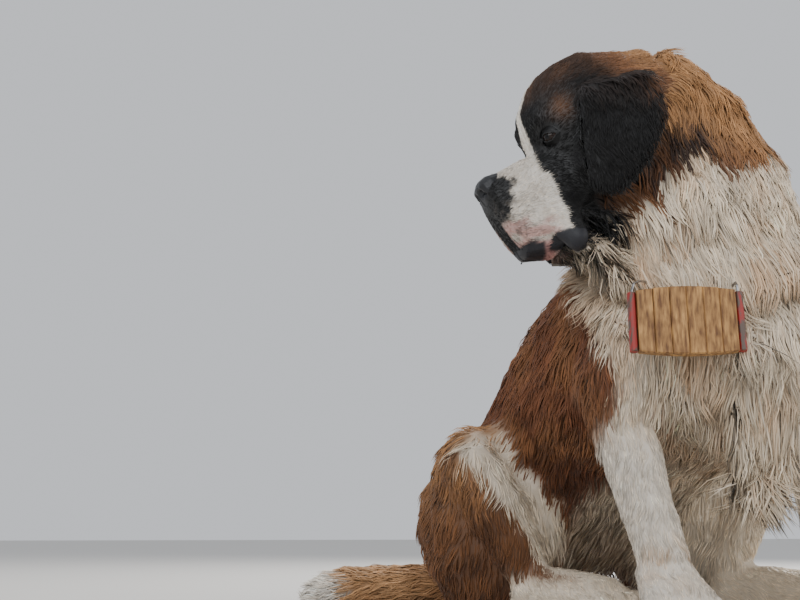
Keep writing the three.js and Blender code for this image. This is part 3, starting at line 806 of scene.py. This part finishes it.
def clumped(path, share, group):
    """Each lock's outer half drawn towards its group's leader, so the coat gathers in pointed clumps."""
    t = np.linspace(0, 1, path.shape[1])[None, :, None]
    return path + (path[group] - path) * share * t ** 1.6


def sample_roots(chosen, count):
    """Evenly spread places on the chosen triangles, closer together where the spacing is small."""
    tri = skin_triangles[chosen]
    a, b, c = (skin_points[tri[:, k]] for k in range(3))
    area = 0.5 * np.linalg.norm(np.cross(b - a, c - a), axis=1)
    total = np.cumsum(area * (growth[tri].mean(1) / spacing[tri].mean(1) ** 2))
    drawn = (np.arange(count) + rng.random(count)) / count * total[-1]
    pick = np.minimum(np.searchsorted(total, drawn), len(tri) - 1)
    return tri[pick], pick, rng.dirichlet([1, 1, 1], count)


def leaders_of(root, clump):
    """For each lock the number of the nearest of the few locks that lead a clump."""
    leaders = rng.choice(len(root), max(len(root) // clump, 1), replace=False)
    finder = KDTree(len(leaders))
    for k, leader in enumerate(leaders):
        finder.insert(root[leader], k)
    finder.balance()
    return leaders[np.array([finder.find(p)[1] for p in root])]


# What a coat piece does where its own style says nothing: how far locks stray, gather, curl, droop and hug
# the skin, their lift and width, how many share a clump, and how ragged the borders of the markings are
PLAIN_STYLE = {
    "stray": 0.16,
    "gather": 0.45,
    "curl": 0.06,
    "droop": 0.2,
    "hug": 0.25,
    "lift": 1.0,
    "width": 1.0,
    "clump": 9,
    "ragged": 0.004,
}
SWAYS = 0.8
SOFTEN = 0.62
PATCH = 0.0028
WARM = np.array([1.0, 0.95, 0.88])


def lock_solids(path, side, normal, widest, style, faces):
    """Each lock's points, a flat triangle round the path at every ring and the tip, and all triangles."""
    count, rings = len(path), path.shape[1] - 1
    heading = unit(np.gradient(path, axis=1))
    turned = rng.normal(0, 0.35, count)[:, None]
    across = unit(side * np.cos(turned) + normal * np.sin(turned))[:, None]
    across = unit(across - heading * (across * heading).sum(2, keepdims=True))
    above = np.cross(across, heading)[:, :-1]
    across = across[:, :-1]
    outline = np.interp(np.linspace(0, 1, rings + 1)[:-1], [0, 0.3, 0.65, 1.0], [0.62, 1.0, 0.80, 0.1])
    broad = widest * rng.uniform(0.7, 1.25, count) * style["width"] / 2
    half = (broad[:, None] * outline)[:, :, None]
    thick = half * 0.45
    spine = path[:, :-1]
    one = spine + across * half - above * thick
    two = spine - across * half - above * thick
    top = spine + above * (thick * 1.4)
    ring_points = np.stack([one, two, top], axis=2).reshape(count, rings * 3, 3)
    points = np.concatenate([ring_points, path[:, -1:]], axis=1)
    all_faces = (faces[None] + (np.arange(count) * points.shape[1])[:, None, None]).reshape(-1, 3)
    corners = points[:, faces] - points.mean(1, keepdims=True)[:, :, None]
    volume = (np.cross(corners[:, :, 0], corners[:, :, 1]) * corners[:, :, 2]).sum()
    if volume < 0:
        all_faces = all_faces[:, ::-1]
    return points, all_faces


def lock_normals(points, path, normal, along_lock):
    """Normals that lean towards the skin's, less at the tips and where the skin faces down."""
    spine = np.concatenate([np.repeat(path[:, :-1], 3, axis=1), path[:, -2:-1]], axis=1)
    soft = (SOFTEN * (0.12 + 0.88 * ramp(normal[:, 2], -0.75, -0.15)))[:, None, None]
    soft = soft * (1 - 0.35 * along_lock[None, :, None])
    return unit(unit(points - spine) * (1 - soft) + normal[:, None] * soft).reshape(-1, 3)


def lock_colours(root, which, group, ragged, along_lock):
    """Each lock takes the marking at its root, in its own tone, with painted shade at the root and painted
    light towards the tip.
    """
    count = len(root)
    base = markings(root + rng.normal(0, ragged, (count, 3)), which)
    tone = np.exp(rng.normal(0, 0.13, count) + 0.10 * rng.normal(0, 1, count)[group])[:, None]
    base = base * tone * (1 + (WARM - 1) * rng.random(count)[:, None])
    pale = ramp(base.mean(1), 0.15, 0.5)[:, None, None]
    # Painted shade and light along each lock: dark at the root and a little brighter than its marking at
    # the tip, less dark on pale coat.
    painted_root_shade = 0.66 + 0.16 * pale + (0.42 - 0.18 * pale) * along_lock[None, :, None]
    return (base[:, None] * painted_root_shade).reshape(-1, 3)


def map_locks(mesh, spot, along_lock, triangles):
    """Each lock is a small patch on the map, at its root's place on the skin's unwrap."""
    rings = len(along_lock) // 3
    across = np.concatenate([np.tile([-0.5, 0.5, 0.0], rings), [0.0]]) * PATCH
    patch = spot[:, None] + np.stack([across, (along_lock - 0.5) * PATCH], 1)[None]
    patch = np.clip(patch, 0.0, 1.0).reshape(-1, 2)
    loops = np.ascontiguousarray(triangles).ravel()
    layer = mesh.uv_layers.new(name="OFBake")
    layer.data.foreach_set("uv", patch[loops].astype(np.float32).ravel())


def coat_piece(name, chosen, limit, rings, own_style):
    """One piece of the coat on the chosen skin triangles, with at most limit triangles."""
    style = PLAIN_STYLE | own_style
    faces = lock_shape(rings)
    count = limit // len(faces)
    corner, pick, share = sample_roots(chosen, count)

    def at(field):
        """A field's value at each lock's root."""
        return (field[corner] * share.reshape(count, 3, *[1] * (field.ndim - 1))).sum(1)

    root = at(skin_points)
    normal = unit(at(skin_normals))
    lie = at(way)
    lie = unit(lie - normal * (lie * normal).sum(1, keepdims=True))
    stray = rng.normal(0, style["stray"], count)[:, None] + 0.22 * ripple(root, 0.06, 21)[:, None]
    lie = unit(lie + np.cross(lie, normal) * stray)
    size = at(length) * rng.uniform(0.72, 1.18, count)
    angle = np.clip(at(lift) * style["lift"] + rng.normal(0, 0.07, count), 0.04, 1.2)
    group = leaders_of(root, style["clump"])
    phase = rng.uniform(0, math.tau, count)[group]
    phase = phase + rng.normal(0, 0.5, count)
    start = root - normal * np.clip(0.03 * size, 0.0002, 0.0015)[:, None]
    path, side = lock_paths(start, normal, lie, size, angle, phase, rings, style)
    path = clumped(path, style["gather"], group)
    path[:, :, 2] = np.maximum(path[:, :, 2], 0.0012 + 0.001 * rng.random((count, 1)))

    points, triangles = lock_solids(path, side, normal, at(width), style, faces)
    made = new_object(name, points.reshape(-1, 3), triangles)
    along_lock = np.concatenate([np.repeat(np.linspace(0, 1, rings + 1)[:-1], 3), [1.0]])
    normals = lock_normals(points, path, normal, along_lock)
    made.data.normals_split_custom_set_from_vertices(normals)
    which = label[corner[np.arange(count), share.argmax(1)]]
    store_colour(made.data, lock_colours(root, which, group, style["ragged"], along_lock))
    spot = (corner_uv[chosen][pick] * share[:, :, None]).sum(1)
    map_locks(made.data, spot, along_lock, triangles)
    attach(made, "root")
    return made


middle = skin_points[skin_triangles].mean(1)
middle_head = in_head(middle)
tri_label = label[skin_triangles[:, 0]]


def on(*names):
    """The skin triangles that belong to these nodes."""
    return belongs(tri_label, *names)


FACE_FROM = 45
UPPER_NECK_FROM = 0.575
BACK_FROM = -0.13
face_part = on("head", "lower_jaw") & (middle_head[:, 0] > FACE_FROM)
head_part = on("head", "lower_jaw") & ~face_part
upper_neck = on("neck") & (middle[:, 2] > UPPER_NECK_FROM)
lower_neck = on("neck") & (middle[:, 2] <= UPPER_NECK_FROM)
chest_part = on("chest") & (middle[:, 1] < BACK_FROM)
back_part = on("chest") & (middle[:, 1] >= BACK_FROM)
haunch_part = on("thigh_left", "thigh_right")
foreleg_part = on("foreleg_left", "foreleg_right", "forepaw_left", "forepaw_right")
hind_part = on("shank_left", "shank_right", "hindfoot_left", "hindfoot_right")
SHORT = {
    "stray": 0.10, "gather": 0.2, "droop": 0.0, "hug": 0.1, "curl": 0.02, "ragged": 0.0012, "width": 0.9,
}
RUFF = {"gather": 0.55, "curl": 0.08, "clump": 22, "stray": 0.11, "width": 0.85}
SLEEK = {"gather": 0.5, "curl": 0.05, "lift": 0.8, "stray": 0.1}

# For each piece: where it grows, its most triangles, the rings of a lock, and its style
COAT = {
    "coat_face": (face_part, 190000, 2, SHORT),
    "coat_crown": (head_part, 105000, 3, {"gather": 0.35, "droop": 0.05, "ragged": 0.003}),
    "coat_ears": (on("ear_left", "ear_right"), 85000, 3, {"gather": 0.4, "droop": 0.3, "curl": 0.08}),
    "coat_nape": (upper_neck, 125000, 3, {"gather": 0.5, "curl": 0.09, "clump": 14}),
    "coat_ruff": (lower_neck, 165000, 3, RUFF),
    "coat_chest": (chest_part, 190000, 3, RUFF),
    "coat_back": (back_part, 100000, 3, {"gather": 0.5, "stray": 0.1}),
    "coat_flanks": (on("rump"), 135000, 3, SLEEK | {"droop": 0.4}),
    "coat_haunches": (haunch_part, 120000, 3, SLEEK),
    "coat_forelegs": (foreleg_part, 125000, 2, {}),
    "coat_hind_legs": (hind_part, 105000, 2, {}),
    "coat_tail": (on("tail_base", "tail_tip"), 55000, 3, {"gather": 0.5, "curl": 0.10}),
}
coat = [coat_piece(name, *facts) for name, facts in COAT.items()]


# Materials

def put(node, values):
    """Values on a shader node's own sockets."""
    for socket, value in values.items():
        node.inputs[socket].default_value = value


def material(name, values):
    """A new material with these values on its Principled shader, and its node tree."""
    made = bpy.data.materials.new(name)
    made.use_nodes = True
    nodes = made.node_tree.nodes
    shader = nodes["Principled BSDF"]
    put(shader, values)
    return made, nodes, made.node_tree.links, shader


def give(obj, made):
    """The object shows this material alone."""
    obj.data.materials.clear()
    obj.data.materials.append(made)


def node_of(nodes, kind, **settings):
    """A shader node with some of its properties set."""
    made = nodes.new(kind)
    for key, value in settings.items():
        setattr(made, key, value)
    return made


def mottled_group():
    """The shared effect: noise in a stretched space, and two colours mixed by it between two thresholds."""
    group = bpy.data.node_groups.new("mottled", "ShaderNodeTree")
    for name, kind, start in (
        ("Space", "NodeSocketVector", (0, 0, 0)),
        ("Stretch", "NodeSocketVector", (1, 1, 1)),
        ("Scale", "NodeSocketFloat", 100.0),
        ("Detail", "NodeSocketFloat", 4.0),
        ("From", "NodeSocketFloat", 0.35),
        ("To", "NodeSocketFloat", 0.65),
        ("Low", "NodeSocketColor", (0, 0, 0, 1)),
        ("High", "NodeSocketColor", (1, 1, 1, 1)),
    ):
        group.interface.new_socket(name, in_out="INPUT", socket_type=kind).default_value = start
    group.interface.new_socket("Color", in_out="OUTPUT", socket_type="NodeSocketColor")
    group.interface.new_socket("Height", in_out="OUTPUT", socket_type="NodeSocketFloat")
    given = group.nodes.new("NodeGroupInput")
    result = group.nodes.new("NodeGroupOutput")
    mapping = group.nodes.new("ShaderNodeMapping")
    noise = group.nodes.new("ShaderNodeTexNoise")
    share = group.nodes.new("ShaderNodeMapRange")
    mix = node_of(group.nodes, "ShaderNodeMix", data_type="RGBA")
    for out, into in (
        (given.outputs["Space"], mapping.inputs["Vector"]),
        (given.outputs["Stretch"], mapping.inputs["Scale"]),
        (mapping.outputs["Vector"], noise.inputs["Vector"]),
        (given.outputs["Scale"], noise.inputs["Scale"]),
        (given.outputs["Detail"], noise.inputs["Detail"]),
        (noise.outputs["Fac"], share.inputs["Value"]),
        (given.outputs["From"], share.inputs["From Min"]),
        (given.outputs["To"], share.inputs["From Max"]),
        (share.outputs["Result"], mix.inputs["Factor"]),
        (given.outputs["Low"], mix.inputs["A"]),
        (given.outputs["High"], mix.inputs["B"]),
        (mix.outputs["Result"], result.inputs["Color"]),
        (noise.outputs["Fac"], result.inputs["Height"]),
    ):
        group.links.new(out, into)
    return group


mottling = mottled_group()


def mottled(nodes, links, values):
    """The shared effect placed in a material, in Object coordinates, with its own values."""
    made = node_of(nodes, "ShaderNodeGroup", node_tree=mottling)
    place = node_of(nodes, "ShaderNodeTexCoord")
    links.new(place.outputs["Object"], made.inputs["Space"])
    put(made, values)
    return made


def bumped(nodes, links, shader, height, strength, distance):
    """A height that feeds the shader's normal."""
    bump = node_of(nodes, "ShaderNodeBump")
    put(bump, {"Strength": strength, "Distance": distance})
    links.new(height, bump.inputs["Height"])
    links.new(bump.outputs["Normal"], shader.inputs["Normal"])


def painted_by_tint(nodes, links, shader):
    """The piece's own colour attribute feeds the base colour."""
    tint = node_of(nodes, "ShaderNodeAttribute", attribute_name="tint")
    links.new(tint.outputs["Color"], shader.inputs["Base Color"])


coat_paint, nodes, links, shader = material("coat_hair", {
    "Roughness": 0.62, "Specular IOR Level": 0.28, "Sheen Weight": 0.07, "Sheen Roughness": 0.5,
})
painted_by_tint(nodes, links, shader)
for piece in coat:
    give(piece, coat_paint)

skin_paint, nodes, links, shader = material("skin_under_coat", {"Roughness": 0.55})
painted_by_tint(nodes, links, shader)
pores = mottled(nodes, links, {"Scale": 380, "Detail": 3})
bumped(nodes, links, shader, pores.outputs["Height"], 0.35, 0.0012)
give(skin, skin_paint)


# The nose: the node's shape made fine and round, with comma-shaped nostrils and a groove down the middle

def fine_copy(node, name, grow, voxel, rounds):
    """Points and triangles of a welded, slightly grown and finely remeshed copy of a node."""
    points, triangles = welded(*arrays_of(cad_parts[node].data))
    coarse = new_object(name + "_coarse", points + grow * normals_of(points, triangles), triangles)
    finer = coarse.modifiers.new("Remesh", "REMESH")
    finer.mode = "VOXEL"
    finer.voxel_size = voxel
    rounder = coarse.modifiers.new("Smooth", "SMOOTH")
    rounder.factor = 0.5
    rounder.iterations = rounds
    shaped = bpy.data.meshes.new_from_object(coarse.evaluated_get(bpy.context.evaluated_depsgraph_get()))
    bpy.data.objects.remove(coarse)
    return arrays_of(shaped)


nose_points, nose_triangles = fine_copy("nose", "nose_pad", 0.0035, 0.0013, 6)
q = in_head(nose_points)
stretch = ramp(-q[:, 2], 28, 50)
nose_points += head_up * (-0.010 * stretch)[:, None] - head_forward * (0.003 * stretch)[:, None]
q = in_head(nose_points)
b = np.abs(q[:, 1])
hole = hump(np.hypot((b - 12.5) / 5.5, (q[:, 2] + 31) / 4.5), 1.0)
slit_place = np.clip((b - 12) / 14, 0, 1)
slit = hump((q[:, 2] + 31 + 7 * slit_place) / 2.0, 1.0) * ramp(b, 12, 16) * ramp(-b, -28, -22)
front_facing = ramp(q[:, 0], 172, 190)
groove = hump(q[:, 1], 1.4) * ramp(-q[:, 2], 26, 34)
inward = 0.0105 * hole * front_facing + 0.0035 * slit + 0.0018 * groove * front_facing
wing = 0.0014 * hump(np.hypot((b - 19) / 5, (q[:, 2] + 25) / 6), 1.0)
facing = normals_of(nose_points, nose_triangles)
nose_points = nose_points - head_forward * (0.8 * inward)[:, None] - facing * (0.3 * inward)[:, None]
nose_points += facing * wing[:, None]
nose = new_object("nose_pad", nose_points, nose_triangles)
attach(nose, "root")
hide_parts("nose")

nose_paint, nodes, links, shader = material("nose_leather", {"Base Color": (*linear(17, 18, 23), 1)})
place = node_of(nodes, "ShaderNodeTexCoord")
pebbles = node_of(nodes, "ShaderNodeTexVoronoi", feature="SMOOTH_F1")
put(pebbles, {"Scale": 520})
tones = node_of(nodes, "ShaderNodeMapRange")
put(tones, {"To Min": 0.40, "To Max": 0.62})
links.new(place.outputs["Object"], pebbles.inputs["Vector"])
links.new(pebbles.outputs["Distance"], tones.inputs["Value"])
links.new(tones.outputs["Result"], shader.inputs["Roughness"])
bumped(nodes, links, shader, pebbles.outputs["Distance"], 0.45, 0.0008)
give(nose, nose_paint)


# The eyes: a ball with a raised cornea, coloured by the angle from the gaze

def eyeball(name, centre, look):
    """A ball whose front bulges by a bell curve; pupil, iris with streaks, dark rim and white by angle."""
    rows, columns = 48, 64
    polar = np.linspace(0, math.pi, rows + 1)
    turn = np.linspace(0, math.tau, columns, endpoint=False)
    across = unit(np.cross(head_up, look))
    upright = np.cross(look, across)
    angle = np.concatenate([[0], np.repeat(polar[1:-1], columns), [math.pi]])
    around = np.concatenate([[0], np.tile(turn, rows - 1), [0]])
    flat = np.cos(around)[:, None] * across + np.sin(around)[:, None] * upright
    direction = np.cos(angle)[:, None] * look + np.sin(angle)[:, None] * flat
    bulge = 0.0011 * hump(angle, 0.55)
    points = centre + direction * (EYE_BALL + bulge)[:, None]
    faces = []
    last = 1 + (rows - 1) * columns
    for k in range(columns):
        after = (k + 1) % columns
        faces.append([0, 1 + k, 1 + after])
        faces.append([last, last - columns + after, last - columns + k])
        for r in range(rows - 2):
            one, two = 1 + r * columns + k, 1 + r * columns + after
            faces.append([one, one + columns, two])
            faces.append([two, one + columns, two + columns])
    streaks = 0.5 + 0.5 * np.sin(around * 37 + 2.2 * np.sin(around * 11))
    colour = plain(linear(58, 44, 38), points)
    colour = blend_to(colour, ramp(-angle, -0.86, -0.74), linear(24, 15, 11))
    iris = linear(35, 21, 13) * (0.65 + 0.5 * streaks[:, None])
    colour = colour + ramp(-angle, -0.74, -0.64)[:, None] * (iris - colour)
    colour = blend_to(colour, ramp(-angle, -0.34, -0.28), linear(5, 5, 6))
    made = new_object(name, points, np.array(faces))
    store_colour(made.data, colour)
    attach(made, "root")
    return made


eye_paint, nodes, links, shader = material("eye_wet", {"Roughness": 0.1, "Specular IOR Level": 0.3})
painted_by_tint(nodes, links, shader)
for side in ("left", "right"):
    eye = eyeball("eyeball_" + side, eye_centres[side], gaze[side])
    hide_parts("eye_" + side)
    give(eye, eye_paint)


# Fittings keep their CAD shape and get their finish here

def screen(red, green, blue):
    """A screen colour as a shader socket's value."""
    return (*linear(red, green, blue), 1)


def fitting(name, finish, values, bump=None):
    """A material with a mottled colour and, where it is given, a bump's strength and distance."""
    made, nodes, links, shader = material(name, finish)
    pattern = mottled(nodes, links, values)
    links.new(pattern.outputs["Color"], shader.inputs["Base Color"])
    if bump:
        bumped(nodes, links, shader, pattern.outputs["Height"], *bump)
    return made


wood_paint, nodes, links, shader = material("slat_wood", {"Roughness": 0.6})
grain = mottled(nodes, links, {
    "Stretch": (1, 1, 0.12),
    "Scale": 260,
    "Detail": 6,
    "Low": screen(112, 74, 38),
    "High": screen(196, 148, 88),
})
stains = mottled(nodes, links, {"Scale": 38, "Detail": 3, "Low": screen(120, 96, 74)})
stained = node_of(nodes, "ShaderNodeMix", data_type="RGBA", blend_type="MULTIPLY")
put(stained, {"Factor": 0.35})
links.new(grain.outputs["Color"], stained.inputs["A"])
links.new(stains.outputs["Color"], stained.inputs["B"])
links.new(stained.outputs["Result"], shader.inputs["Base Color"])
bumped(nodes, links, shader, grain.outputs["Height"], 0.4, 0.0006)

red_wear = {
    "Stretch": (1, 1, 0.35),
    "Scale": 120,
    "Detail": 5,
    "From": 0.46,
    "To": 0.56,
    "Low": screen(150, 36, 30),
    "High": screen(88, 70, 60),
}
creases = {"Scale": 90, "Detail": 6, "Low": screen(30, 22, 18), "High": screen(62, 46, 36)}
scuffs = {"Scale": 300, "Low": screen(120, 118, 116), "High": screen(176, 176, 178)}
layers = {"Stretch": (1, 0.25, 1), "Scale": 320, "Low": screen(38, 30, 26), "High": screen(92, 78, 66)}
red_paint = fitting("worn_red_paint", {"Roughness": 0.5}, red_wear, (0.3, 0.0006))
strap_paint = fitting("strap_leather", {"Roughness": 0.55}, creases, (0.35, 0.0008))
steel_paint = fitting("dull_steel", {"Metallic": 1.0, "Roughness": 0.38}, scuffs)
horn_paint = fitting("claw_horn", {"Roughness": 0.35, "Coat Weight": 0.3}, layers)

for name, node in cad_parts.items():
    if "claw" in name:
        give(node, horn_paint)
    elif name == "collar":
        give(node, strap_paint)
    elif name.startswith("hanger"):
        give(node, steel_paint)
    elif name.startswith("tag_end"):
        give(node, red_paint)
    elif name.startswith("tag"):
        give(node, wood_paint)


# Floor, lights and camera

floor_finish = {"Base Color": (0.62, 0.61, 0.59, 1), "Roughness": 0.8}
bpy.ops.mesh.primitive_plane_add(size=40, location=(0, 0, 0))
floor = bpy.context.object
floor.name = "floor"
give(floor, material("floor_paper", floor_finish)[0])

world = bpy.data.worlds.new("studio")
bpy.context.scene.world = world
world.use_nodes = True
put(world.node_tree.nodes["Background"], {"Color": (0.78, 0.80, 0.84, 1), "Strength": 0.9})


def soft_light(name, place, target, size, power, colour):
    """A square area light that faces its target."""
    data = bpy.data.lights.new(name, "AREA")
    data.shape = "SQUARE"
    data.size = size
    data.energy = power
    data.color = colour
    made = bpy.data.objects.new(name, data)
    made.location = place
    made.rotation_euler = (Vector(target) - Vector(place)).to_track_quat("-Z", "Y").to_euler()
    bpy.context.scene.collection.objects.link(made)


soft_light("key_from_behind", (1.9, 1.6, 2.4), (0, 0, 0.45), 1.0, 130, (1.0, 0.96, 0.9))
soft_light("fill_from_front", (-2.2, -2.0, 1.8), (0, 0, 0.4), 2.2, 48, (0.95, 0.97, 1.0))
soft_light("fill_from_right", (1.8, -2.2, 1.5), (0, 0, 0.4), 1.8, 22, (1.0, 0.98, 0.95))

# The photo's own view: low, close and turned a little up
CAMERA_PLACE = (-0.9576, -1.6134, 0.12)
CAMERA_RISE = math.radians(101)
CAMERA_TURN = math.radians(-21.5)
camera_data = bpy.data.cameras.new("camera")
camera_data.lens = 54
camera_data.sensor_width = 36
camera = bpy.data.objects.new("camera", camera_data)
camera.location = CAMERA_PLACE
camera.rotation_euler = (CAMERA_RISE, 0, CAMERA_TURN)
bpy.context.scene.collection.objects.link(camera)
bpy.context.scene.camera = camera
